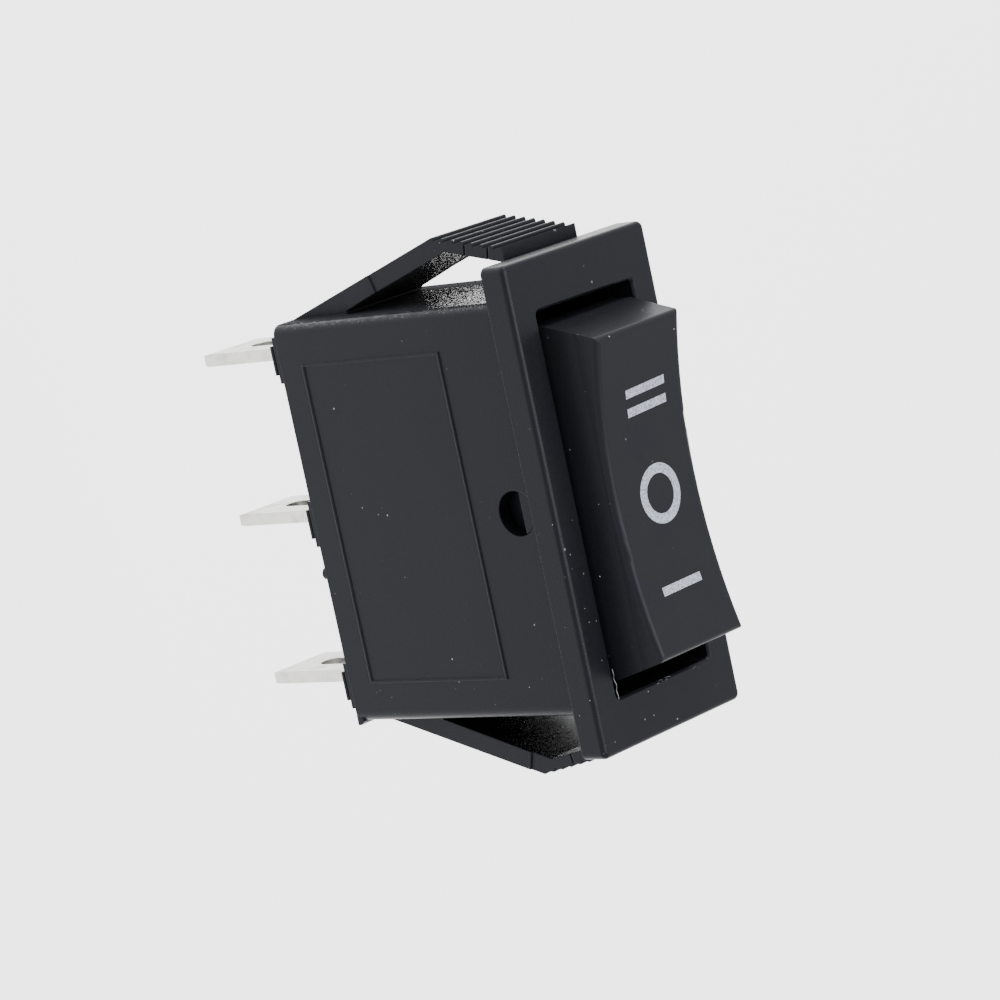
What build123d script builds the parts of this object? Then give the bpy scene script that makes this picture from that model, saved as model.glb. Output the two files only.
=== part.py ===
from build123d import *
from math import cos, hypot, radians, sin, tan
import os

# Snap-in rocker switch, single pole, on-off-on, for a rectangular panel cut-out.
# Millimetres. +Z points out of the panel, X runs along the rocker, Y across it.
# The origin is the centre of the cut-out, in the plane of the bezel's underside.

# Bezel, the flange that covers the edge of the cut-out
bezel_length = 31.0
bezel_width = 13.6
bezel_thickness = 2.1
bezel_corner = 0.45
bezel_edge = 0.35
seat_chamfer = 0.25

# Body, the box behind the panel
body_length = 26.2
body_width = 11.0
body_depth = 19.7
body_corner = 0.7
body_rear_edge = 0.12
heel_reach = 0.22       # small lip across the +X end of the rear face
heel_height = 0.5
heel_width = 10.8
end_wall = 0.9
side_wall = 0.9
floor_thickness = 1.4
cavity_corner = 0.3
mouth_chamfer = 0.15

# Snap arms, one leaf at each end of the body, moulded with it
arm_width = 7.0
arm_root_overhang = 0.1     # by which the root is wider on each side
arm_root_drop_1 = 12.2  # from the seat plane down to the top of the wider root, at -X
arm_root_drop_2 = 7.3   # the same at +X
arm_root_gusset = 0.3   # by which the root meets the body higher than the leaf would
arm_foot = 0.2          # height of the outer foot above the rear face
arm_lean = 17.6
arm_thickness = 1.2
arm_knee_drop = 6.1     # from the seat plane down to the widest point
head_lean = 11.4
head_tip_drop = 0.6
head_tip_thickness = 0.98   # the tip stands clear of the seat
tooth_count = 8
tooth_depth = 0.3
tooth_round = 0.14
head_seam_drops = (1.75, 3.6)
seam_width = 0.12
seam_depth = 0.2
seam_reach = 4.0        # long enough to cross the head
crotch_radius = 0.12

# Stepped collars round the terminals on the rear face, a gate mark, and the side's frame line
collar_length = 3.0
collar_side_setback = 0.5
collar_height = 0.75
collar_lip_length = 1.9
collar_lip_height = 0.3
collar_chamfer = 0.1
gate_mark_x = 3.3
gate_mark_radius = 0.4
gate_mark_height = 0.6
frame_line_width = 0.16
frame_line_height = 0.08
frame_length = 21.0
frame_height = 11.9
frame_top_drop = 5.75
partition_thickness = 0.8
partition_height = 1.3
partition_offset = 4.2

# Rocker
pivot_drop = 2.1
pin_radius = 1.4
pin_clearance = 0.05
pin_recess = 0.08       # from the outer face of the side wall in to the pin's end
pin_ramp_angle = 50.0   # lead-in ramp on the lower side of each pin
pin_ramp_start = 0.4    # height above the pin's axis at which the ramp begins
rocker_side_gap = 0.3
rocker_top_length = 20.2
rocker_top_width = 8.1
rocker_rise = 5.9       # ends of the top face above the seat plane
rocker_dish = 1.25      # depth of the hollow top face
rocker_rim = 1.8        # upright band of the long sides, under the rim; the draft ends there
rocker_flank_length = 22.3
rocker_skirt_length = 22.4
rocker_skirt_rise = 0.3
rocker_skirt_drop = 4.4
rocker_skirt_foot = 8.0
rocker_edge = 0.4
rocker_wall = 1.15
rocker_crown = 1.3
rib_thickness = 0.8
pin_root_radius = 2.8   # round about the pins that the cap stays open inside
rocker_angle = 12.0

# Plunger and its spring, in the rocker's tube
tube_wall = 1.0
tube_bottom = 10.3      # below the rocker pivot
bore_top = 1.9          # below the rocker pivot
plunger_radius = 1.55
plunger_clearance = 0.05
plunger_tip_radius = 1.2
plunger_guide = 4.9
plunger_nose = 0.75     # straight part's end above the centre of the tip
plunger_hollow_radius = 1.15
plunger_hollow_floor = 1.6
spring_wire = 0.32
spring_turns = 6
spring_wire_sides = 6     # a many-sided wire keeps the coil's faces few
spring_side_gap = 0.08
spring_seat_gap = 0.03

# Contact arm, the see-saw
contact_angle = 8.5
arm_strip = 0.7
arm_strip_width = 6.4
arm_waist_width = 4.8
arm_waist_length = 1.8
arm_end_margin = 1.7
trough_half = 2.7
arm_seat_height = 0.15  # underside of the trough above the pivot
pivot_gap = 0.04
touch_gap = 0.04

# Silver contacts
contact_reach = 8.4
contact_radius = 1.4
contact_height = 0.55
contact_dome_radius = 3.5
shank_radius = 0.8
shank_clearance = 0.02

# Terminals
blade_thickness = 0.8
flag_bend_radius = 0.7
blade_width = 4.8
blade_pitch = 10.8
blade_tip_drop = 30.1   # from the seat plane to the tips
tip_corner = 0.6
tip_bevel_length = 0.9
tip_bevel_depth = 0.2
lug_slot_width = 1.6
lug_slot_length = 3.8
lug_slot_inset = 3.0
slot_clearance = 0.05
flag_inner = 7.2        # inner end of an outer terminal's flag, from the centre
shoulder_width = 7.4
prong_width = 1.1
prong_rise = 1.9

# How closely an edge has to lie to a place to be picked by it
pick_tolerance = 0.01

# Worked out from the values above
body_end = body_length / 2
body_side = body_width / 2
cavity_length = body_length - 2 * end_wall
cavity_width = body_width - 2 * side_wall
floor_top = floor_thickness - body_depth
arm_slope = tan(radians(arm_lean))
arm_foot_z = arm_foot - body_depth
arm_inset = arm_thickness / cos(radians(arm_lean))
arm_crotch_z = arm_foot_z + arm_inset / arm_slope
arm_inside = body_end - end_wall / 2
pivot_z = -pivot_drop
rocker_base_width = cavity_width - 2 * rocker_side_gap
bore_radius = plunger_radius + plunger_clearance
tube_radius = bore_radius + tube_wall
tube_bottom_z = pivot_z - tube_bottom
bore_top_z = pivot_z - bore_top

trough_top = arm_seat_height + arm_strip
tip_height = trough_top + touch_gap + plunger_tip_radius
flag_top = floor_top + blade_thickness
fixed_contact_top = flag_top + contact_height


def arm_tip_path(pivot_height):
    """Radius of the plunger tip's path, seen from the contact arm, through rest and the limit."""
    drop = pivot_z - pivot_height - tip_height
    turn = radians(rocker_angle)
    lean = radians(contact_angle)
    across = drop * sin(turn)
    up = tip_height + drop * (1 - cos(turn))
    along = across * cos(lean) - up * sin(lean)
    rise = across * sin(lean) + up * cos(lean) - tip_height
    return (along**2 + rise**2) / (2 * rise)


def trough_rise(radius):
    """Height of the trough's ends above its middle."""
    return radius - (radius**2 - trough_half**2) ** 0.5


def arm_pivot_height(path_radius):
    """Height of the contact arm's pivot that closes a contact at the arm's limit."""
    lean = radians(contact_angle)
    wing_bottom = arm_seat_height + trough_rise(path_radius + plunger_tip_radius + touch_gap)
    dome_centre = wing_bottom - contact_height + contact_dome_radius
    reach_up = contact_reach * sin(lean) - dome_centre * cos(lean)
    return fixed_contact_top + contact_dome_radius + touch_gap + reach_up


arm_pivot_z = fixed_contact_top
for _ in range(8):
    arm_pivot_z = arm_pivot_height(arm_tip_path(arm_pivot_z))
trough_radius = arm_tip_path(arm_pivot_z) + plunger_tip_radius + touch_gap
wing_rise = trough_rise(trough_radius)
wing_top_z = arm_pivot_z + trough_top + wing_rise
wing_bottom_z = wing_top_z - arm_strip
tip_z = arm_pivot_z + tip_height
moving_dome_centre = wing_bottom_z - arm_pivot_z - contact_height + contact_dome_radius
fixed_contact_x = (contact_reach * cos(radians(contact_angle))
                   + moving_dome_centre * sin(radians(contact_angle)))


def side_profile(points, width):
    """A slab across Y from a closed outline of (x, z) points, centred on Y."""
    outline = make_face(Polyline(*[(x, 0, z) for x, z in points], close=True))
    return extrude(outline, amount=width / 2, dir=(0, 1, 0), both=True)


def block(length, width, bottom, top, x=0.0, y=0.0):
    """A box between two heights, centred on (x, y)."""
    centre = Pos(x, y, (bottom + top) / 2)
    return centre * Box(length, width, top - bottom)


def rod_y(radius, y_from, y_to, x=0.0, z=0.0):
    """A round bar along Y."""
    plane = Plane(origin=(x, y_from, z), z_dir=(0, 1, 0))
    return extrude(plane * Circle(radius), y_to - y_from)


# Housing -------------------------------------------------------------------

def bezel():
    plate = extrude(RectangleRounded(bezel_length, bezel_width, bezel_corner), bezel_thickness)
    plate = fillet(plate.edges().group_by(Axis.Z)[-1], bezel_edge)
    return chamfer(plate.edges().group_by(Axis.Z)[0], seat_chamfer)


def heel():
    """The lip across the +X end of the rear face, under the foot of the snap arm."""
    outline = [(arm_inside, -body_depth), (body_end + heel_reach, -body_depth),
               (body_end + heel_reach, heel_height / 2 - body_depth),
               (body_end, heel_height - body_depth), (arm_inside, heel_height - body_depth)]
    return side_profile(outline, heel_width)


def body_shell():
    shell = extrude(RectangleRounded(body_length, body_width, body_corner), -body_depth)
    shell = chamfer(shell.edges().group_by(Axis.Z)[0], body_rear_edge)
    return shell + heel()


def leaf_x(z):
    """Outer face of the leaf at a height."""
    return body_end + (z - arm_foot_z) * arm_slope


def head_teeth():
    """Outline of the ratchet teeth, from the knee up to the tip."""
    points = []
    knee_x = leaf_x(-arm_knee_drop)
    pitch = (arm_knee_drop - head_tip_drop) / (tooth_count - 1)
    for tooth in range(tooth_count):
        crest = knee_x - tooth * pitch * tan(radians(head_lean))
        height = tooth * pitch - arm_knee_drop
        points.append((crest, height))
        points.append((crest - tooth_depth, height))
    return points[:-1]


def arm_leaf():
    """The leaf at the +X end: it leans out from its foot to a toothed head under the bezel."""
    teeth = head_teeth()
    tip_x = teeth[-1][0] - head_tip_thickness
    inner_knee_z = arm_inset * arm_slope + tooth_depth - arm_knee_drop
    outline = [(arm_inside, arm_foot_z), (body_end, arm_foot_z)]
    outline += teeth
    outline += [(tip_x, -head_tip_drop), (leaf_x(inner_knee_z) - arm_inset, inner_knee_z)]
    outline += [(body_end, arm_crotch_z), (arm_inside, arm_crotch_z)]
    leaf = side_profile(outline, arm_width)
    crests = leaf.edges().filter_by(Axis.Y).filter_by(
        lambda edge: any(hypot(edge.center().X - x, edge.center().Z - z) < pick_tolerance
                         for x, z in teeth[:-1:2]))
    return fillet(crests, tooth_round)


def arm_root(drop):
    """The wider, thicker root of the leaf, up to a drop below the seat plane."""
    top_z = -drop
    lean = radians(arm_lean)
    inner_top = (leaf_x(top_z) - arm_thickness * cos(lean), top_z + arm_thickness * sin(lean))
    crotch_z = arm_crotch_z + arm_root_gusset
    outline = [(arm_inside, arm_foot_z), (body_end, arm_foot_z), (leaf_x(top_z), top_z), inner_top,
               (body_end, crotch_z), (arm_inside, crotch_z)]
    return side_profile(outline, arm_width + 2 * arm_root_overhang)


def arm_seams():
    """The two fine grooves across each side of the head, square to its outer face."""
    cuts = []
    for drop in head_seam_drops:
        middle = leaf_x(-arm_knee_drop) - (arm_knee_drop - drop) * tan(radians(head_lean))
        for side in (-1, 1):
            place = Pos(middle, side * arm_width / 2, -drop) * Rot(0, -head_lean, 0)
            cuts.append(place * Box(seam_reach, 2 * seam_depth, seam_width))
    return cuts


def snap_arm(root_drop):
    return arm_leaf() - arm_seams() + arm_root(root_drop)


def collar(x):
    """A stepped collar: a broad pad with a narrower lip along the blade."""
    width = body_width - 2 * collar_side_setback
    pad = extrude(Pos(x, 0, -body_depth) * Rectangle(collar_length, width), -collar_height)
    pad = chamfer(pad.edges().group_by(Axis.Z)[0], collar_chamfer)
    lip_face = Pos(x, 0, -body_depth - collar_height) * Rectangle(collar_lip_length, width)
    lip = extrude(lip_face, -collar_lip_height)
    return pad + chamfer(lip.edges().group_by(Axis.Z)[0], collar_chamfer)


def gate_mark():
    """The stub left where the moulding was cut from its sprue."""
    y = collar_side_setback + gate_mark_radius / 2 - body_side
    stub = extrude(Pos(gate_mark_x, y, -body_depth) * Circle(gate_mark_radius), -gate_mark_height)
    return chamfer(stub.edges().group_by(Axis.Z)[0], collar_chamfer)


def frame_line():
    """The thin raised rectangle on the side face."""
    middle = -frame_top_drop - frame_height / 2
    face = Plane(origin=(0, -body_side, middle), x_dir=(1, 0, 0), z_dir=(0, -1, 0))
    outer = Rectangle(frame_length, frame_height)
    inner = Rectangle(frame_length - 2 * frame_line_width, frame_height - 2 * frame_line_width)
    return extrude(face * (outer - inner), frame_line_height)


def cavity():
    room = extrude(RectangleRounded(cavity_length, cavity_width, cavity_corner), bezel_thickness)
    depth = Pos(0, 0, floor_top) * RectangleRounded(cavity_length, cavity_width, cavity_corner)
    return room + extrude(depth, -floor_top)


def partitions():
    ribs = []
    for side in (-1, 1):
        ribs.append(block(partition_thickness, cavity_width, floor_top,
                          floor_top + partition_height, x=side * partition_offset))
    return ribs


def terminal_slots():
    cuts = []
    for x in (-blade_pitch, 0, blade_pitch):
        cuts.append(block(blade_thickness + 2 * slot_clearance, blade_width + 2 * slot_clearance,
                          -body_depth - collar_height - collar_lip_height, floor_top, x=x))
    return cuts


def housing():
    shell = bezel() + body_shell()
    shell += mirror(snap_arm(arm_root_drop_1), Plane.YZ)
    shell += snap_arm(arm_root_drop_2)
    crotch = shell.edges().filter_by(Axis.Y).filter_by(
        lambda edge: abs(abs(edge.center().X) - body_end) < pick_tolerance
        and arm_foot_z + heel_height < edge.center().Z < -pick_tolerance)
    shell = fillet(crotch, crotch_radius)
    for x in (-blade_pitch, 0, blade_pitch):
        shell += collar(x)
    shell += gate_mark()
    shell += frame_line()
    shell -= cavity()
    mouth = shell.edges().group_by(Axis.Z)[-1].filter_by(
        lambda edge: abs(edge.center().X) < body_end and abs(edge.center().Y) < body_side)
    shell = chamfer(mouth, mouth_chamfer)
    for rib in partitions():
        shell += rib
    for cut in terminal_slots():
        shell -= cut
    return shell - rod_y(pin_radius + pin_clearance, -body_width, body_width, z=pivot_z)


# Rocker ----------------------------------------------------------------------

def dished_outline(half_top, top_z, dish, lower):
    """A closed outline: a hollow arc on top, then the given points from +X round to -X."""
    arc = ThreePointArc((-half_top, 0, top_z), (0, 0, top_z - dish), (half_top, 0, top_z))
    rest = Polyline((half_top, 0, top_z), *[(x, 0, z) for x, z in lower], (-half_top, 0, top_z))
    return make_face([arc, rest])


def rocker_cap():
    flank = rocker_flank_length / 2
    skirt = rocker_skirt_length / 2
    foot = rocker_skirt_foot / 2
    right = [(flank, bezel_thickness), (skirt, rocker_skirt_rise), (foot, -rocker_skirt_drop)]
    left = [(-x, z) for x, z in reversed(right)]
    outline = dished_outline(rocker_top_length / 2, rocker_rise, rocker_dish, right + left)
    cap = extrude(outline, amount=rocker_base_width, dir=(0, 1, 0), both=True)
    base = rocker_base_width / 2
    top = rocker_top_width / 2
    rim_z = rocker_rise - rocker_rim
    section = [(-base, -body_depth), (base, -body_depth), (base, 0), (top, rim_z),
               (top, rocker_rise), (-top, rocker_rise), (-top, rim_z), (-base, 0)]
    draft = make_face(Polyline(*[(0, y, z) for y, z in section], close=True))
    cap = cap & extrude(draft, amount=bezel_length, dir=(1, 0, 0), both=True)
    low = rocker_rise - rocker_dish - pick_tolerance
    rim = cap.edges().filter_by(lambda edge: edge.bounding_box().min.Z > low)
    return fillet(rim, rocker_edge)


def rocker_hollow():
    """The open underside of the cap."""
    side = rocker_skirt_length / 2 - rocker_wall
    shoulder = rocker_top_length / 2 - rocker_wall
    top_z = rocker_rise - rocker_crown
    right = [(side, rocker_skirt_rise), (side, -body_depth)]
    left = [(-x, z) for x, z in reversed(right)]
    outline = dished_outline(shoulder, top_z, rocker_dish, right + left)
    return extrude(outline, amount=rocker_base_width / 2 - rocker_wall, dir=(0, 1, 0), both=True)


def rocker():
    cap = rocker_cap()
    hollow = rocker_hollow()
    crown_z = rocker_rise - rocker_dish - rocker_crown / 2
    tube = Pos(0, 0, tube_bottom_z) * extrude(Circle(tube_radius), crown_z - tube_bottom_z)
    inner_length = rocker_skirt_length - rocker_wall
    ribs = block(inner_length, rib_thickness, rocker_skirt_rise, rocker_rise)
    ribs += block(rib_thickness, rocker_base_width - rocker_wall, -rocker_skirt_drop, rocker_rise)
    shape = cap - hollow + (ribs & hollow) + tube
    bore = Pos(0, 0, tube_bottom_z) * extrude(Circle(bore_radius), bore_top_z - tube_bottom_z)
    pin_end = body_side - pin_recess
    pins = rod_y(pin_radius, -pin_end, pin_end, z=pivot_z)
    ramp_top = pivot_z + pin_ramp_start
    ramp_foot = pivot_z - pin_radius
    ramp_in = (ramp_top - ramp_foot) * tan(radians(pin_ramp_angle))
    for side in (-1, 1):
        ramp = [(side * pin_end, ramp_top), (side * pin_end, ramp_foot),
                (side * (pin_end - ramp_in), ramp_foot)]
        wedge = make_face(Polyline(*[(0, y, z) for y, z in ramp], close=True))
        pins -= extrude(wedge, amount=pin_radius, dir=(1, 0, 0), both=True)
    inner_gap = rod_y(pin_root_radius, rocker_wall - rocker_base_width / 2,
                      rocker_base_width / 2 - rocker_wall, z=pivot_z)
    return shape + (pins - inner_gap) - bore


# Plunger and spring ----------------------------------------------------------

plunger_top_z = tube_bottom_z + plunger_guide
plunger_seat_z = tip_z + plunger_hollow_floor


def plunger():
    """A round-nosed pin with a blind hole for the spring."""
    nose_z = tip_z + plunger_nose
    midway = plunger_tip_radius / 2**0.5
    tip = ThreePointArc((0, 0, tip_z - plunger_tip_radius), (midway, 0, tip_z - midway),
                        (plunger_tip_radius, 0, tip_z))
    rest = Polyline((plunger_tip_radius, 0, tip_z), (plunger_radius, 0, nose_z),
                    (plunger_radius, 0, plunger_top_z),
                    (plunger_hollow_radius, 0, plunger_top_z),
                    (plunger_hollow_radius, 0, plunger_seat_z),
                    (0, 0, plunger_seat_z), (0, 0, tip_z - plunger_tip_radius))
    return revolve(make_face([tip, rest]), Axis.Z)


def spring():
    coil_radius = plunger_hollow_radius - spring_side_gap - spring_wire / 2
    start = plunger_seat_z + spring_wire / 2 + spring_seat_gap
    end = bore_top_z - spring_wire / 2 - spring_seat_gap
    path = Pos(0, 0, start) * Helix((end - start) / spring_turns, end - start, coil_radius)
    section = RegularPolygon(spring_wire / 2, spring_wire_sides)
    wire = Plane(origin=path @ 0, z_dir=path % 0) * section
    return sweep(wire, path=path)


# Contact arm and contacts ----------------------------------------------------

def trough_slab(radius, width, height):
    """Everything above a round trough floor of the given radius, up to a height."""
    centre_z = arm_pivot_z + trough_top + trough_radius
    return rod_y(radius, -width / 2, width / 2, z=centre_z) & block(
        2 * trough_half, width, arm_pivot_z - trough_radius, height)


def contact_arm():
    half = contact_reach + arm_end_margin
    width = arm_strip_width
    lowest = trough_slab(trough_radius + arm_strip, width, wing_top_z)
    strip = block(2 * half, width, wing_bottom_z, wing_top_z) + lowest
    strip -= trough_slab(trough_radius, width, wing_top_z + arm_strip)
    notch_width = (arm_strip_width - arm_waist_width) / 2
    for side in (-1, 1):
        y = side * (arm_strip_width - notch_width) / 2
        strip -= block(arm_waist_length, notch_width, arm_pivot_z - arm_strip, wing_top_z, y=y)
        hole = Pos(side * contact_reach, 0, wing_bottom_z) * Circle(shank_radius + shank_clearance)
        strip -= extrude(hole, arm_strip)
    groove = rod_y(blade_thickness / 2 + pivot_gap, -width, width, z=arm_pivot_z)
    return strip - groove


def rivet(back_z, face_dir, plate):
    """A riveted silver contact: domed head, shank through the plate and a flat closing head."""
    sag = contact_dome_radius - (contact_dome_radius**2 - contact_radius**2) ** 0.5
    mid = contact_radius / 2
    mid_sag = contact_dome_radius - (contact_dome_radius**2 - mid**2) ** 0.5
    up = face_dir
    dome = ThreePointArc((0, 0, back_z + up * contact_height),
                         (mid, 0, back_z + up * (contact_height - mid_sag)),
                         (contact_radius, 0, back_z + up * (contact_height - sag)))
    tail = back_z - up * plate
    rest = Polyline((contact_radius, 0, back_z + up * (contact_height - sag)),
                    (contact_radius, 0, back_z + up * shank_clearance),
                    (shank_radius, 0, back_z + up * shank_clearance),
                    (shank_radius, 0, tail), (0, 0, tail),
                    (0, 0, back_z + up * contact_height))
    return revolve(make_face([dome, rest]), Axis.Z)


def moving_contact(side):
    return Pos(side * contact_reach, 0, 0) * rivet(wing_bottom_z, -1, arm_strip)


def fixed_contact(side):
    return Pos(side * fixed_contact_x, 0, 0) * rivet(flag_top, 1, blade_thickness)


# Terminals --------------------------------------------------------------------

def blade(x, top):
    """A tab terminal: bevelled tip, cut corners and a slot for a wire."""
    tip = -blade_tip_drop
    half = blade_width / 2
    outline = [(-half, top), (half, top), (half, tip + tip_corner), (half - tip_corner, tip),
               (tip_corner - half, tip), (-half, tip + tip_corner)]
    face = make_face(Polyline(*[(x, y, z) for y, z in outline], close=True))
    tab = extrude(face, amount=blade_thickness / 2, dir=(1, 0, 0), both=True)
    slot_z = tip + lug_slot_inset + lug_slot_length / 2
    plane = Plane(origin=(x, 0, slot_z), x_dir=(0, 0, 1), z_dir=(1, 0, 0))
    tab -= extrude(plane * SlotOverall(lug_slot_length, lug_slot_width), blade_thickness, both=True)
    thick = blade_thickness / 2
    for side in (-1, 1):
        wedge = [(x + side * thick, tip + tip_bevel_length), (x + side * thick, tip),
                 (x + side * (thick - tip_bevel_depth), tip)]
        tab -= side_profile(wedge, blade_width * 2)
    return tab


def outer_terminal(side):
    x = side * blade_pitch
    tab = blade(x, floor_top)
    outer = x + side * blade_thickness / 2
    length = abs(outer) - flag_inner
    centre = side * (abs(outer) + flag_inner) / 2
    flag = block(length, blade_width, floor_top, flag_top, x=centre)
    corner = flag.edges().filter_by(Axis.Y).group_by(Axis.Z)[-1].sort_by(Axis.X)
    flag = fillet(corner[-1] if side > 0 else corner[0], flag_bend_radius)
    tab += flag
    hole = Pos(side * fixed_contact_x, 0, floor_top) * Circle(shank_radius + shank_clearance)
    return tab - extrude(hole, blade_thickness)


def common_terminal():
    """The middle terminal: shoulders on the floor, a round fulcrum edge and two prongs."""
    tab = blade(0, floor_top)
    tab += block(blade_thickness, shoulder_width, floor_top, arm_pivot_z)
    gap = shoulder_width - 2 * prong_width
    tab += rod_y(blade_thickness / 2, -gap / 2, gap / 2, z=arm_pivot_z)
    for side in (-1, 1):
        y = side * (shoulder_width - prong_width) / 2
        tab += block(blade_thickness, prong_width, arm_pivot_z, arm_pivot_z + prong_rise, y=y)
    return tab


parts = {
    "housing": housing(),
    "rocker": rocker(),
    "plunger": plunger(),
    "spring": spring(),
    "contact_arm": contact_arm(),
    "moving_contact_1": moving_contact(-1),
    "moving_contact_2": moving_contact(1),
    "terminal_1": outer_terminal(-1),
    "terminal_common": common_terminal(),
    "terminal_2": outer_terminal(1),
    "fixed_contact_1": fixed_contact(-1),
    "fixed_contact_2": fixed_contact(1),
}

os.makedirs("parts", exist_ok=True)
for name, shape in parts.items():
    export_step(shape, f"parts/{name}.step")
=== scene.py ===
import math
import random
import bpy
import bmesh
from mathutils import Matrix, Vector
from mathutils.bvhtree import BVHTree


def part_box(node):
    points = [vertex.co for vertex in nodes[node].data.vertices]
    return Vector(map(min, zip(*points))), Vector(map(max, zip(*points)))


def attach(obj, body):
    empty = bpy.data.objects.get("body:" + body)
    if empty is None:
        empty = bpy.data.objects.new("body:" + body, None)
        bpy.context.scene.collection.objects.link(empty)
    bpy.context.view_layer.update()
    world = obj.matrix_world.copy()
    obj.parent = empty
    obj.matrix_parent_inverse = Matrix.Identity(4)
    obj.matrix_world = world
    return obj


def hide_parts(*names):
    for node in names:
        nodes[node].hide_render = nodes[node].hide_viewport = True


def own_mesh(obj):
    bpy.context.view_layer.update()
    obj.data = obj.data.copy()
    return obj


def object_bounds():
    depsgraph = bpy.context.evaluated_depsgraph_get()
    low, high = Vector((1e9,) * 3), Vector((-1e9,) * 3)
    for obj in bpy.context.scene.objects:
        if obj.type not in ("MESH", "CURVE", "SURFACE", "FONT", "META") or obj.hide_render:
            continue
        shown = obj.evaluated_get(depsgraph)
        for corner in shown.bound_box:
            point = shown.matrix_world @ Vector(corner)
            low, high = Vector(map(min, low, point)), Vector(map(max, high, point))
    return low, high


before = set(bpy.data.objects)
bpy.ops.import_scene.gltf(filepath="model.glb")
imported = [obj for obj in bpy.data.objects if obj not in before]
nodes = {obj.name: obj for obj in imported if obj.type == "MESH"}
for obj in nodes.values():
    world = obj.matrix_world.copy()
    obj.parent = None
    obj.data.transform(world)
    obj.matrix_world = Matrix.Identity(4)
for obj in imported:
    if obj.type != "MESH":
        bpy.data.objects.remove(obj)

# A snap-in rocker switch: the imported model's pieces in their finishes, with the printed marks,
# the lint that lies on the plastic and a spring coil of round wire.
# frame: +Z points out of the panel, X runs along the rocker and Y across it, and z = 0 is the
# bezel's underside. MM turns millimetres into metres.

MM = 0.001
cad_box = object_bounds()

# Camera ----------------------------------------------------------------------------

CAMERA_PLACE = Vector((-45.17, -209.31, 188.01)) * MM
CAMERA_RIGHT = Vector((0.2055, 0.6456, 0.7355))
CAMERA_AHEAD = Vector((0.1563, 0.7202, -0.6759))
CAMERA_LENS = 165.6
SENSOR = 36


def make_camera():
    data = bpy.data.cameras.new("camera")
    data.lens = CAMERA_LENS
    data.sensor_width = SENSOR
    data.clip_start = 10 * MM
    camera = bpy.data.objects.new("camera", data)
    bpy.context.scene.collection.objects.link(camera)
    back = -CAMERA_AHEAD.normalized()
    right = CAMERA_RIGHT.normalized()
    up = back.cross(right).normalized()
    turn = Matrix((right, up, back)).transposed()
    camera.matrix_world = Matrix.Translation(CAMERA_PLACE) @ turn.to_4x4()
    bpy.context.scene.camera = camera


# Node helpers ------------------------------------------------------------------------

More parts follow.
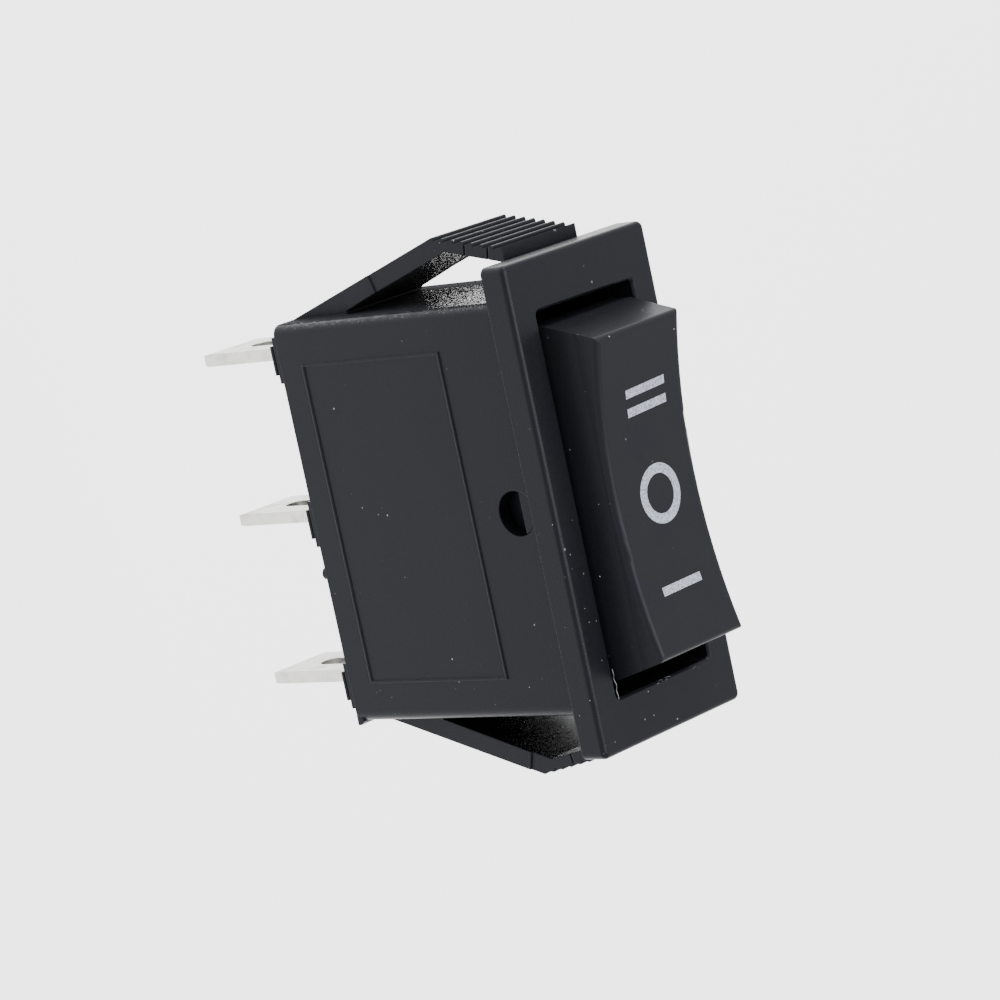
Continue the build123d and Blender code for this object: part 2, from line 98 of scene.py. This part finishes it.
class Finish:
    """A node material under construction: short calls that make and join its nodes."""

    def __init__(self, name):
        self.material = bpy.data.materials.new(name)
        self.material.use_nodes = True
        self.tree = self.material.node_tree
        self.shader = self.tree.nodes["Principled BSDF"]
        surface = self.make("ShaderNodeTexCoord")
        self.place = surface.outputs["Object"]
        self.facing = surface.outputs["Normal"]

    def make(self, kind):
        return self.tree.nodes.new(kind)

    def join(self, source, target):
        self.tree.links.new(source, target)

    def fixed(self, **values):
        """Values that are the same all over, set on the shader's own sockets."""
        for name, value in values.items():
            self.shader.inputs[name.replace("_", " ")].default_value = value

    def parts(self, vector):
        """The X, Y and Z of a vector."""
        node = self.make("ShaderNodeSeparateXYZ")
        self.join(vector, node.inputs["Vector"])
        return node.outputs["X"], node.outputs["Y"], node.outputs["Z"]

    def stretched(self, scale):
        """Object coordinates, scaled by given amounts along X, Y and Z."""
        mapping = self.make("ShaderNodeMapping")
        mapping.inputs["Scale"].default_value = scale
        self.join(self.place, mapping.inputs["Vector"])
        return mapping.outputs["Vector"]

    def noise(self, size, detail=2.0, roughness=0.5, place=None):
        """Soft random values whose blotches are about size metres across."""
        node = self.make("ShaderNodeTexNoise")
        node.inputs["Scale"].default_value = 1 / size
        node.inputs["Detail"].default_value = detail
        node.inputs["Roughness"].default_value = roughness
        self.join(place or self.place, node.inputs["Vector"])
        return node.outputs["Fac"]

    def cells(self, size, place=None):
        """Random cells about size metres across: distance to each centre, and its own colour."""
        node = self.make("ShaderNodeTexVoronoi")
        node.inputs["Scale"].default_value = 1 / size
        self.join(place or self.place, node.inputs["Vector"])
        return node.outputs["Distance"], node.outputs["Color"]

    def warped(self, size, reach):
        """Object coordinates pushed about by noise, so that round shapes turn irregular."""
        noise = self.make("ShaderNodeTexNoise")
        noise.inputs["Scale"].default_value = 1 / size
        self.join(self.place, noise.inputs["Vector"])
        push = self.make("ShaderNodeVectorMath")
        push.operation = "MULTIPLY_ADD"
        self.join(noise.outputs["Color"], push.inputs[0])
        push.inputs[1].default_value = (reach, reach, reach)
        self.join(self.place, push.inputs[2])
        return push.outputs["Vector"]

    def between(self, value, low, high, to_low=0.0, to_high=1.0):
        """Maps low..high smoothly to to_low..to_high, and holds the ends."""
        node = self.make("ShaderNodeMapRange")
        node.interpolation_type = "SMOOTHSTEP"
        node.inputs["From Min"].default_value = low
        node.inputs["From Max"].default_value = high
        node.inputs["To Min"].default_value = to_low
        node.inputs["To Max"].default_value = to_high
        self.join(value, node.inputs["Value"])
        return node.outputs["Result"]

    def sum(self, operation, first, second=None, third=None):
        node = self.make("ShaderNodeMath")
        node.operation = operation
        for socket, value in zip(node.inputs, (first, second, third)):
            if isinstance(value, (int, float)):
                socket.default_value = value
            elif value is not None:
                self.join(value, socket)
        return node.outputs["Value"]

    def mix(self, share, first, second):
        """A colour between two, each given as three numbers or as a socket."""
        node = self.make("ShaderNodeMix")
        node.data_type = "RGBA"
        self.join(share, node.inputs["Factor"])
        for name, value in (("A", first), ("B", second)):
            socket = next(s for s in node.inputs if s.name == name and s.type == "RGBA")
            if isinstance(value, tuple):
                socket.default_value = (*value, 1)
            else:
                self.join(value, socket)
        return next(s for s in node.outputs if s.type == "RGBA")

    def rounded(self, radius):
        """The surface's normal, softened along its edges."""
        bevel = self.make("ShaderNodeBevel")
        bevel.samples = 6
        bevel.inputs["Radius"].default_value = radius
        return bevel.outputs["Normal"]

    def bump(self, height, depth, normal=None):
        node = self.make("ShaderNodeBump")
        node.inputs["Strength"].default_value = 1.0
        node.inputs["Distance"].default_value = depth
        self.join(height, node.inputs["Height"])
        if normal:
            self.join(normal, node.inputs["Normal"])
        return node.outputs["Normal"]

    def colour(self, source):
        self.join(source, self.shader.inputs["Base Color"])

    def roughness(self, source):
        self.join(source, self.shader.inputs["Roughness"])

    def normal(self, source):
        self.join(source, self.shader.inputs["Normal"])


# Plastics -------------------------------------------------------------------------------

HOUSING_CHARCOAL = (0.0038, 0.0039, 0.0046)
ROCKER_CHARCOAL = (0.0052, 0.0053, 0.0062)
# the pale grey of the corner's specks: partly dust, partly painted glints
GLINT_AND_DUST_GREY = (0.06, 0.06, 0.06)
DUST = (0.27, 0.27, 0.26)
SHEEN = (0.84, 0.89, 1.0, 1)
ACETAL, ACETAL_BLOTCH = (0.78, 0.77, 0.72), (0.66, 0.65, 0.60)
END_FACE = 13.1 * MM      # from the middle out to the body's end faces
MOULDED_EDGE = 0.10 * MM
SMALL_SPECK = (0.5 * MM, 0.05 * MM)     # spacing and radius
LARGE_SPECK = (1.9 * MM, 0.085 * MM)


def specks(finish, kind, share):
    """Grains of dust: the middles of a share of the cells, where they meet the surface."""
    spacing, radius = kind
    distance, colour = finish.cells(spacing, finish.warped(0.11 * MM, 0.05 * MM))
    channels = finish.make("ShaderNodeSeparateColor")
    finish.join(colour, channels.inputs["Color"])
    chosen = finish.sum("LESS_THAN", channels.outputs["Red"], share)
    grain = radius / spacing
    reach = finish.sum("MULTIPLY_ADD", channels.outputs["Green"], grain * 0.8, grain * 0.5)
    near = finish.sum("LESS_THAN", distance, reach)
    strength = finish.between(channels.outputs["Blue"], 0.0, 1.0, 0.25, 1.0)
    return finish.sum("MULTIPLY", finish.sum("MULTIPLY", near, chosen), strength)


def glints(finish):
    """What to add to the roughness on the body's ends and inside the snap arms. At -X the
    grain is matt with polished peaks, more of them near the bezel; at +X it is all smoother."""
    turn, _, _ = finish.parts(finish.facing)
    x, y, z = finish.parts(finish.place)
    away = finish.sum("ABSOLUTE", x)
    flat = finish.sum("GREATER_THAN", finish.sum("ABSOLUTE", turn), 0.93)
    inward = finish.sum("LESS_THAN", finish.sum("MULTIPLY", turn, x), 0.0)
    on_body = finish.sum("LESS_THAN", away, END_FACE + 0.1 * MM)
    beyond = finish.sum("GREATER_THAN", away, END_FACE - 0.1 * MM)
    faces = finish.sum("MULTIPLY", finish.sum("MAXIMUM", inward, on_body), beyond)
    near_bezel = finish.between(z, -12 * MM, -3 * MM, -0.16, -0.02)
    near_edge = finish.between(y, 2.6 * MM, 4.0 * MM, 0.0, -0.5)
    spread = finish.sum("ADD", near_bezel, near_edge)
    peaks = finish.sum("ADD", finish.noise(0.13 * MM, 1.5), spread)
    at_minus_x = finish.sum("LESS_THAN", x, 0.0)
    matt_or_peak = finish.between(peaks, 0.485, 0.515, 0.78, -0.1)
    change = finish.sum("MULTIPLY_ADD", at_minus_x, matt_or_peak, -0.12)
    return finish.sum("MULTIPLY", finish.sum("MULTIPLY", faces, flat), change)


def painted_glints_and_dust(finish):
    """1 where the corner between the -X end and the -Y side turns pale: specks of dust and painted
    glints of the grain.
    """
    x, y, z = finish.parts(finish.place)
    at_end = finish.between(x, -12.7 * MM, -12.95 * MM)
    at_side = finish.between(y, -4.7 * MM, -5.0 * MM)
    behind_bezel = finish.sum("LESS_THAN", z, -0.1 * MM)
    corner = finish.sum("MULTIPLY", finish.sum("MULTIPLY", at_end, at_side), behind_bezel)
    speckled = finish.between(finish.noise(0.10 * MM, 2.0), 0.55, 0.62)
    patchy = finish.between(finish.noise(1.3 * MM, 2.0), 0.38, 0.55)
    return finish.sum("MULTIPLY", corner, finish.sum("MULTIPLY", speckled, patchy))


def plastic(name, base, shine, gloss, grain_size, grain_depth, dust_share):
    """Charcoal moulded plastic with a fine eroded grain and grains of dust in drifts."""
    finish = Finish(name)
    clouds = finish.noise(3.5 * MM, 3.0)
    bluer = (0.9 * base[0], 0.92 * base[1], 1.08 * base[2])
    colour = finish.mix(finish.between(clouds, 0.35, 0.68), base, bluer)
    mottle = finish.noise(0.22 * MM, 2.0)
    lighter = tuple(1.4 * c for c in base)
    colour = finish.mix(finish.between(mottle, 0.5, 0.78, 0.0, 0.3), colour, lighter)
    # painted glints: pale specks at the -X/-Y corner, partly dust and partly standing in for the
    # grain's glints
    colour = finish.mix(painted_glints_and_dust(finish), colour, GLINT_AND_DUST_GREY)
    drift = finish.between(finish.noise(4.5 * MM, 2.0), 0.46, 0.66)
    grains = finish.sum("MAXIMUM", specks(finish, SMALL_SPECK, dust_share),
                        specks(finish, LARGE_SPECK, dust_share))
    dusty = finish.sum("MULTIPLY", grains, drift)
    finish.colour(finish.mix(dusty, colour, DUST))
    matt = finish.between(finish.noise(0.5 * MM, 4.0), 0.3, 0.7, gloss - 0.02, gloss + 0.035)
    finish.roughness(finish.sum("MAXIMUM", finish.sum("ADD", matt, glints(finish)), dusty))
    grain = finish.noise(grain_size, 3.0, 0.6)
    relief = finish.sum("ADD", grain, dusty)
    finish.normal(finish.bump(relief, grain_depth, finish.rounded(MOULDED_EDGE)))
    finish.fixed(Specular_IOR_Level=shine, Specular_Tint=SHEEN)
    return finish.material


def acetal(name):
    """Milky white plunger plastic, with a faint sheen and slight blotches."""
    finish = Finish(name)
    blotch = finish.between(finish.noise(0.8 * MM, 3.0), 0.3, 0.7)
    finish.colour(finish.mix(blotch, ACETAL, ACETAL_BLOTCH))
    finish.roughness(finish.between(finish.noise(0.3 * MM), 0.3, 0.7, 0.32, 0.45))
    finish.normal(finish.bump(finish.noise(0.12 * MM, 2.0), 0.004 * MM))
    return finish.material


# Metals -----------------------------------------------------------------------------------

BRASS, BRASS_TARNISH = (0.72, 0.52, 0.24), (0.55, 0.38, 0.18)
TIN, TIN_TARNISH = (0.46, 0.455, 0.43), (0.36, 0.355, 0.335)
STEEL, STEEL_MARKS = (0.56, 0.57, 0.58), (0.40, 0.41, 0.43)
SILVER, SILVER_GREY = (0.86, 0.84, 0.80), (0.62, 0.60, 0.56)
LINE_DEPTH = 0.003 * MM
STRIP_EDGE = 0.04 * MM


def rolled_metal(name, base, tarnish, gloss):
    """Strip metal: fine rolling lines along Z, blotches of tarnish and a soft gloss."""
    finish = Finish(name)
    along = finish.stretched((1.0, 1.0, 0.06))
    lines = finish.noise(0.05 * MM, 3.0, 0.6, along)
    blotch = finish.noise(0.9 * MM, 4.0, 0.6)
    stain = finish.between(blotch, 0.45, 0.75)
    colour = finish.mix(stain, base, tarnish)
    streaks = finish.between(lines, 0.55, 0.8, 0.0, 0.35)
    finish.colour(finish.mix(streaks, colour, tuple(0.82 * c for c in base)))
    finish.roughness(finish.between(blotch, 0.3, 0.8, gloss, gloss + 0.16))
    finish.normal(finish.bump(lines, LINE_DEPTH, finish.rounded(STRIP_EDGE)))
    finish.fixed(Metallic=1.0)
    return finish.material


def drawn_wire(name):
    """Bright spring steel, with fine draw marks."""
    finish = Finish(name)
    marks = finish.noise(0.04 * MM, 2.0)
    finish.colour(finish.mix(finish.between(marks, 0.3, 0.8), STEEL, STEEL_MARKS))
    finish.roughness(finish.between(finish.noise(0.15 * MM), 0.3, 0.7, 0.22, 0.38))
    finish.normal(finish.bump(marks, 0.002 * MM))
    finish.fixed(Metallic=1.0)
    return finish.material


def contact_silver(name):
    """Matt silver, a little grey where the contacts meet."""
    finish = Finish(name)
    grey = finish.between(finish.noise(0.5 * MM, 4.0), 0.4, 0.7)
    finish.colour(finish.mix(grey, SILVER, SILVER_GREY))
    finish.roughness(finish.between(finish.noise(0.2 * MM), 0.3, 0.7, 0.28, 0.45))
    finish.normal(finish.bump(finish.noise(0.1 * MM, 3.0), 0.004 * MM))
    finish.fixed(Metallic=1.0)
    return finish.material


# Ink and lint -------------------------------------------------------------------------------

INK, THIN_INK, PITTED_INK = (0.185, 0.2, 0.243), (0.07, 0.078, 0.1), (0.06, 0.065, 0.08)
COTTON, COTTON_SHADE = (0.12, 0.12, 0.118), (0.035, 0.035, 0.04)


def print_ink(name):
    """Pale grey pad-printed ink, thin and mottled where the plastic's grain shows through."""
    finish = Finish(name)
    thin = finish.between(finish.noise(0.12 * MM, 2.0, 0.6), 0.44, 0.60, 0.0, 0.9)
    colour = finish.mix(thin, INK, THIN_INK)
    pits, _ = finish.cells(0.36 * MM)
    holes = finish.between(pits, 0.2, 0.1, 0.0, 0.75)
    finish.colour(finish.mix(holes, colour, PITTED_INK))
    finish.roughness(finish.between(finish.noise(0.3 * MM), 0.3, 0.7, 0.5, 0.62))
    finish.normal(finish.bump(finish.noise(0.1 * MM, 3.0), 0.006 * MM))
    return finish.material


def cotton(name):
    """Pale lint, darker in places."""
    finish = Finish(name)
    shade = finish.between(finish.noise(0.25 * MM, 2.0), 0.35, 0.65)
    finish.colour(finish.mix(shade, COTTON, COTTON_SHADE))
    finish.roughness(finish.between(finish.noise(0.05 * MM), 0.3, 0.7, 0.75, 0.95))
    return finish.material


# Pieces ---------------------------------------------------------------------------------------

def dress(names, material):
    """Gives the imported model's own nodes their finish."""
    for name in names:
        for material_slot in nodes[name].material_slots:
            material_slot.material = material


def make_piece(name, mesh, material, body):
    """A new piece from a finished bmesh, riding on a body."""
    bmesh.ops.recalc_face_normals(mesh, faces=mesh.faces)
    data = bpy.data.meshes.new(name)
    mesh.to_mesh(data)
    mesh.free()
    data.materials.append(material)
    piece = bpy.data.objects.new(name, data)
    bpy.context.scene.collection.objects.link(piece)
    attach(piece, body)
    return piece


# Printed marks ------------------------------------------------------------------------------

DROP_HEIGHT = 10 * MM
INK_LIFT = 0.012 * MM
INK_SINK = 0.03 * MM
BAR_WIDTH = 0.545         # mm, as all the sizes and places here below
BAR_LENGTH = 3.74
BAR_STEPS = (3, 14)
RING_OUTER = 1.88
RING_INNER = 1.25
RING_STEPS = (3, 72)
# centre along X and along Y, and how far X runs off for each mm of Y
ONE = [(6.245, -0.02, -0.016)]
TWO = [(-6.15, 0.31, -0.042), (-4.98, 0.33, -0.042)]
RING = (0.52, 0.25)


def surface_of(node):
    """A search tree of a node's faces, for dropping points onto it."""
    mesh = bmesh.new()
    mesh.from_mesh(nodes[node].data)
    tree = BVHTree.FromBMesh(mesh)
    mesh.free()
    return tree


def drop(tree, x, y):
    """The point of a surface straight below a high place, with the surface's normal there."""
    high_place = Vector((x, y, cad_box[1][2] + DROP_HEIGHT))
    point, normal, _, _ = tree.ray_cast(high_place, Vector((0, 0, -1)))
    return point, normal


def bar_grid(centre_x, centre_y, skew):
    """Rows of (x, y) that fill a bar across the rocker, printed a little askew."""
    across, along = BAR_STEPS
    rows = []
    for i in range(across + 1):
        x = centre_x + BAR_WIDTH * (i / across - 0.5)
        steps = [BAR_LENGTH * (j / along - 0.5) for j in range(along + 1)]
        rows.append([(x + skew * step, centre_y + step) for step in steps])
    return rows, False


def ring_grid(centre_x, centre_y):
    """Rows of (x, y) that fill a ring."""
    across, around = RING_STEPS
    rows = []
    for i in range(across + 1):
        radius = RING_INNER + (RING_OUTER - RING_INNER) * i / across
        angles = [2 * math.pi * j / around for j in range(around)]
        rows.append([(centre_x + radius * math.cos(angle), centre_y + radius * math.sin(angle))
                     for angle in angles])
    return rows, True


def add_print(mesh, tree, grid):
    """A thin film over a grid of places, from just under the surface to just above it."""
    rows, closed = grid
    layers = []
    for lift in (INK_LIFT, -INK_SINK):
        layer = []
        for row in rows:
            points = [drop(tree, x * MM, y * MM) for x, y in row]
            layer.append([mesh.verts.new(point + normal * lift) for point, normal in points])
        layers.append(layer)
    top, under = layers
    last = len(rows[0]) if closed else len(rows[0]) - 1
    for i in range(len(rows) - 1):
        for j in range(last):
            k = (j + 1) % len(rows[0])
            mesh.faces.new((top[i][j], top[i + 1][j], top[i + 1][k], top[i][k]))
            mesh.faces.new((under[i][j], under[i][k], under[i + 1][k], under[i + 1][j]))
    for j in range(last):
        k = (j + 1) % len(rows[0])
        mesh.faces.new((top[0][j], top[0][k], under[0][k], under[0][j]))
        mesh.faces.new((top[-1][k], top[-1][j], under[-1][j], under[-1][k]))
    if not closed:
        for i in range(len(rows) - 1):
            mesh.faces.new((top[i + 1][0], top[i][0], under[i][0], under[i + 1][0]))
            mesh.faces.new((top[i][-1], top[i + 1][-1], under[i + 1][-1], under[i][-1]))


def make_mark(name, grids, tree, material):
    mesh = bmesh.new()
    for grid in grids:
        add_print(mesh, tree, grid)
    make_piece(name, mesh, material, "rocker")


def make_marks():
    tree = surface_of("rocker")
    ink = print_ink("print_ink")
    make_mark("mark_i", [bar_grid(*place) for place in ONE], tree, ink)
    make_mark("mark_o", [ring_grid(*RING)], tree, ink)
    make_mark("mark_ii", [bar_grid(*place) for place in TWO], tree, ink)


# Lint ------------------------------------------------------------------------------------------

WELL_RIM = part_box("housing")[1][2] / MM      # the bezel's front face, in mm
LINT_SEED = 7
FIBRE_STEP = 0.07         # mm
FIBRE_SIDES = 6
FIBRE_END = 0.55          # the ends' share of the radius
FIBRES = (
    # from, to, radius and curl, in mm: one along the well's rim, three curls and a crumb
    ((10.3, -4.54, WELL_RIM), (12.25, -4.5, WELL_RIM), 0.026, 0.05),
    ((12.33, -0.9, WELL_RIM), (12.24, -0.2, WELL_RIM), 0.015, 0.12),
    ((12.3, -0.3, WELL_RIM), (12.28, 0.6, WELL_RIM), 0.015, 0.16),
    ((12.4, 2.8, WELL_RIM), (12.5, 3.5, WELL_RIM), 0.016, 0.16),
    ((-16.14, 1.42, -0.66), (-16.2, 1.62, -0.56), 0.07, 0.06),
)


def fibre_line(start, end, curl, dice):
    """Points from start to end that wander sideways by up to curl."""
    start, end = Vector(start), Vector(end)
    count = max(6, round((end - start).length / FIBRE_STEP))
    phases = [dice.uniform(0, 2 * math.pi) for _ in range(3)]
    line = []
    for i in range(count + 1):
        t = i / count
        fade = math.sin(math.pi * t) ** 0.5
        sway = [math.sin(phase + 2 * math.pi * t * (k + 1)) for k, phase in enumerate(phases)]
        line.append(start.lerp(end, t) + Vector(sway) * curl * fade * 0.6)
    return line


def add_tube(mesh, line, radius, sides, end_taper):
    """A tube along a line of points in mm, closed at both ends."""
    rings = []
    for i, point in enumerate(line):
        ahead = (line[min(i + 1, len(line) - 1)] - line[max(i - 1, 0)]).normalized()
        side = ahead.cross(Vector((0.3, 0.2, 1.0))).normalized()
        up = side.cross(ahead)
        taper = end_taper if i in (0, len(line) - 1) else 1.0
        ring = []
        for k in range(sides):
            angle = 2 * math.pi * k / sides
            out = side * math.cos(angle) + up * math.sin(angle)
            ring.append(mesh.verts.new((point + out * radius * taper) * MM))
        rings.append(ring)
    for near, far in zip(rings, rings[1:]):
        for k in range(sides):
            mesh.faces.new((near[k], near[(k + 1) % sides], far[(k + 1) % sides], far[k]))
    mesh.faces.new(rings[0])
    mesh.faces.new(rings[-1])


def make_lint():
    dice = random.Random(LINT_SEED)
    mesh = bmesh.new()
    for start, end, radius, curl in FIBRES:
        add_tube(mesh, fibre_line(start, end, curl, dice), radius, FIBRE_SIDES, FIBRE_END)
    make_piece("lint", mesh, cotton("cotton"), "frame")


# Spring ----------------------------------------------------------------------------------------

SPRING_TURNS = 6
WIRE_RADIUS = 0.16        # mm
WIRE_SIDES = 12
TURN_STEPS = 28
END_FLATTENING = 0.55     # how much less steeply the end turns rise


def make_spring(material):
    """The coil as round wire with flatter end turns."""
    low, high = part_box("spring")
    radius = (high[0] - low[0]) / 2 / MM - WIRE_RADIUS
    start, end = low[2] / MM + WIRE_RADIUS, high[2] / MM - WIRE_RADIUS
    steps = SPRING_TURNS * TURN_STEPS
    line = []
    for i in range(steps + 1):
        share = i / steps
        turn = 2 * math.pi * SPRING_TURNS * share
        rise = share - END_FLATTENING * math.sin(2 * math.pi * share) / (2 * math.pi)
        height = start + (end - start) * rise
        line.append(Vector((radius * math.cos(turn), radius * math.sin(turn), height)))
    mesh = bmesh.new()
    add_tube(mesh, line, WIRE_RADIUS, WIRE_SIDES, 1.0)
    coil = make_piece("spring_coil", mesh, material, "rocker")
    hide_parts("spring")
    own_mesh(coil)


# Stage -----------------------------------------------------------------------------------------

FLOOR_GAP = 60 * MM       # the switch is held in the air, as it is by its panel
FLOOR_REACH = 1.5
PAPER, PAPER_BLOTCH = (0.94, 0.94, 0.94), (0.955, 0.955, 0.955)
SKY = (1, 1, 1, 1)
SKY_STRENGTH = 1.95


def make_floor():
    height = cad_box[0][2] - FLOOR_GAP
    mesh = bpy.data.meshes.new("floor")
    square = ((-1, -1), (1, -1), (1, 1), (-1, 1))
    corners = [(x * FLOOR_REACH, y * FLOOR_REACH, height) for x, y in square]
    mesh.from_pydata(corners, [], [(0, 1, 2, 3)])
    floor = bpy.data.objects.new("floor", mesh)
    bpy.context.scene.collection.objects.link(floor)
    paper = Finish("floor")
    paper.colour(paper.mix(paper.noise(30 * MM), PAPER, PAPER_BLOTCH))
    paper.fixed(Roughness=0.95, Specular_IOR_Level=0.0)
    mesh.materials.append(paper.material)


def make_light(name, place, size, power):
    """A square soft light that points at the switch."""
    data = bpy.data.lights.new(name, "AREA")
    data.size = size
    data.energy = power
    light = bpy.data.objects.new(name, data)
    bpy.context.scene.collection.objects.link(light)
    light.location = Vector(place)
    light.rotation_euler = (-light.location).to_track_quat("-Z", "Y").to_euler()


def make_lights():
    world = bpy.data.worlds.new("world")
    bpy.context.scene.world = world
    world.use_nodes = True
    sky = world.node_tree.nodes["Background"]
    sky.inputs["Color"].default_value = SKY
    sky.inputs["Strength"].default_value = SKY_STRENGTH
    make_light("overhead", (-0.10, 0.0, 0.75), size=0.6, power=13)
    make_light("side", (-0.75, 0.1, 0.25), size=0.5, power=9)


make_camera()
make_floor()
make_lights()
dress(["housing"], plastic("housing_plastic", HOUSING_CHARCOAL, shine=0.09, gloss=0.32,
                           grain_size=0.10 * MM, grain_depth=0.012 * MM, dust_share=0.35))
dress(["rocker"], plastic("rocker_plastic", ROCKER_CHARCOAL, shine=0.08, gloss=0.38,
                          grain_size=0.16 * MM, grain_depth=0.005 * MM, dust_share=0.16))
dress(["plunger"], acetal("plunger_plastic"))
spring_steel = drawn_wire("spring_steel")
dress(["spring"], spring_steel)
dress(["contact_arm"], rolled_metal("contact_brass", BRASS, BRASS_TARNISH, 0.28))
dress(["moving_contact_1", "moving_contact_2", "fixed_contact_1", "fixed_contact_2"],
      contact_silver("contact_silver"))
dress(["terminal_1", "terminal_common", "terminal_2"],
      rolled_metal("tinned_brass", TIN, TIN_TARNISH, 0.26))
make_marks()
make_lint()
make_spring(spring_steel)
